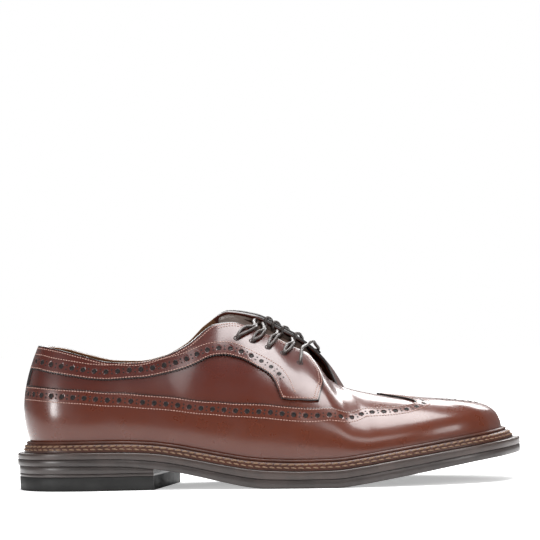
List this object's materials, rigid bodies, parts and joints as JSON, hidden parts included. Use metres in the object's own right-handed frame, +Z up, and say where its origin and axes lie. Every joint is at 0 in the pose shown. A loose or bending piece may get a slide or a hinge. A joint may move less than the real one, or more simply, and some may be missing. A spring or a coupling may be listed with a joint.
{
  "type": "longwing brogue shoe",
  "caption": "Laced leather derby with a long perforated wing round the foot, a stitched reverse welt, a double sole and a stacked heel.",
  "frame": {"origin": "on the floor under the middle of the sole's bounding box", "axes": "+X from heel to toe along the shoe, +Y to the big-toe side, +Z up"},
  "size_m": [0.304, 0.1142, 0.1079],
  "materials": {
    "calf": "polished reddish brown calf",
    "calf_overlay": "polished reddish brown calf",
    "tongue_leather": "dark brown leather, satin",
    "welt": "brown waxed leather, stitched",
    "sole_edge": "dark brown ironed sole edge",
    "heel_rubber": "near-black rubber",
    "lining": "tan lining leather",
    "lace": "round waxed cotton, dark brown"
  },
  "bodies": {
    "root": {"outsole": "sole_edge", "midsole": "sole_edge", "heel_lift_upper": "sole_edge", "heel_lift_lower": "sole_edge", "heel_top_lift": "heel_rubber", "welt": "welt", "upper": "calf", "wing_overlay": "calf_overlay", "quarter_trim": "calf_overlay", "tongue": "tongue_leather", "insole": "lining", "lace_bar": "lace", "lace_crossing_1": "lace", "lace_crossing_2": "lace", "lace_crossing_3": "lace", "lace_crossing_4": "lace"}
  },
  "joints": []
}
